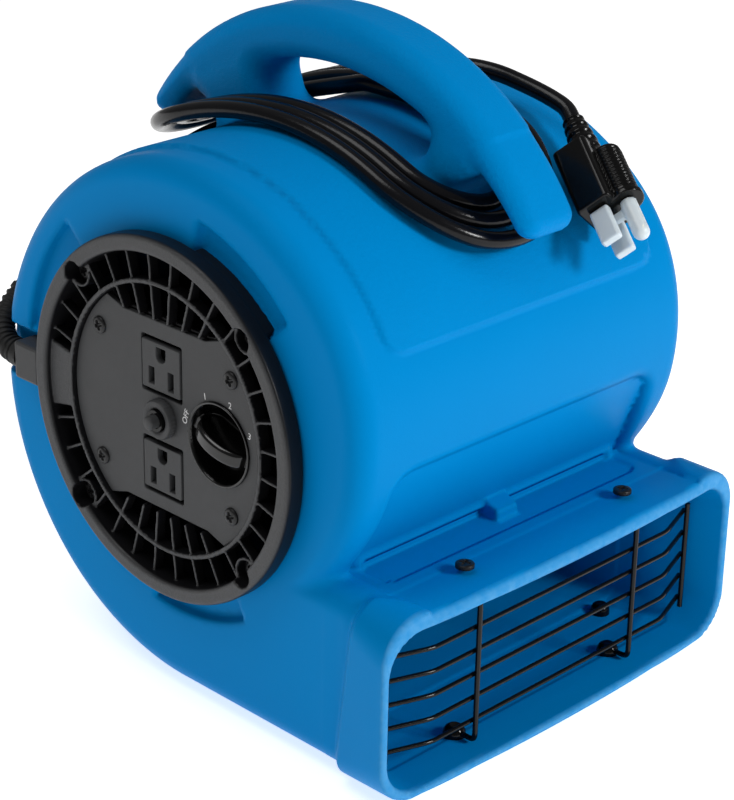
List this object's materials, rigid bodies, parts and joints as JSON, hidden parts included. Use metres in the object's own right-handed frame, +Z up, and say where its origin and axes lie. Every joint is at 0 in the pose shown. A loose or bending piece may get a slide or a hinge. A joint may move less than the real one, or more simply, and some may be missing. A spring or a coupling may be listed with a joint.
{
  "type": "air mover",
  "caption": "Compact floor-drying air mover: snail-shell housing with carrying handle and wound cord, side inlet grilles, speed knob, power outlets and a wire-guarded outlet at floor level.",
  "frame": {"origin": "on the floor under the middle of the machine's box without its cord", "axes": "+Z up; the air leaves towards -Y; the controls are on the -X side; the fan axis runs along X"},
  "size_m": [0.2473, 0.2917, 0.3142],
  "materials": {
    "housing_blue": "satin moulded polyethylene",
    "grille_grey": "fine matte texture",
    "gloss_black": "glossy",
    "black_rubber": "matte",
    "steel": "plain zinc plated",
    "brass": "bright",
    "clear_guard": "translucent"
  },
  "bodies": {
    "base": {"bearing_far": "steel", "bearing_near": "steel", "breaker_body": "gloss_black", "breaker_nut": "gloss_black", "control_grille": "grille_grey", "control_grille_screw_1": "steel", "control_grille_screw_2": "steel", "control_grille_screw_3": "steel", "control_grille_screw_4": "steel", "control_panel": "grille_grey", "cord_gland": "grille_grey", "cord_lead": "gloss_black", "cord_tail": "gloss_black", "cord_winding": "gloss_black", "far_grille": "grille_grey", "far_grille_screw_1": "steel", "far_grille_screw_2": "steel", "far_grille_screw_3": "steel", "far_grille_screw_4": "steel", "foot_front_far": "black_rubber", "foot_front_near": "black_rubber", "foot_nut_1": "gloss_black", "foot_nut_2": "gloss_black", "foot_rear_far": "black_rubber", "foot_rear_near": "black_rubber", "foot_screw_1": "steel", "foot_screw_2": "steel", "foot_screw_3": "steel", "foot_screw_4": "steel", "guard_clip_1": "gloss_black", "guard_clip_2": "gloss_black", "guard_screw_1": "gloss_black", "guard_screw_2": "gloss_black", "housing": "housing_blue", "motor_bolt_1": "steel", "motor_bolt_2": "steel", "motor_can": "steel", "motor_end_bell": "steel", "motor_stator": "steel", "outlet_guard": "gloss_black", "panel_screw_1": "steel", "panel_screw_2": "steel", "panel_screw_3": "steel", "panel_screw_4": "steel", "plug_blade_line": "brass", "plug_blade_neutral": "brass", "plug_body": "gloss_black", "plug_ground_pin": "brass", "prong_cap": "clear_guard", "rotary_switch": "gloss_black", "run_capacitor": "gloss_black", "socket_lower": "gloss_black", "socket_upper": "gloss_black", "strain_relief": "black_rubber", "switch_box": "grille_grey"},
    "fan": {"fan_wheel": "gloss_black", "motor_shaft": "steel", "motor_rotor": "steel"},
    "knob": {"speed_knob": "gloss_black"},
    "button": {"reset_button": "gloss_black"}
  },
  "joints": [
    {"name": "fan_spin", "type": "hinge", "parent": "base", "child": "fan", "pos_m": [0, 0.0105, 0.143], "axis": [1, 0, 0], "continuous": true},
    {"name": "knob_turn", "type": "hinge", "parent": "base", "child": "knob", "pos_m": [-0.1159, -0.026, 0.1425], "axis": [1, 0, 0], "range_deg": [0, 135]},
    {"name": "reset_press", "type": "slide", "parent": "base", "child": "button", "axis": [1, 0, 0], "range_m": [0, 0.003], "stiffness_N_per_m": 600}
  ]
}
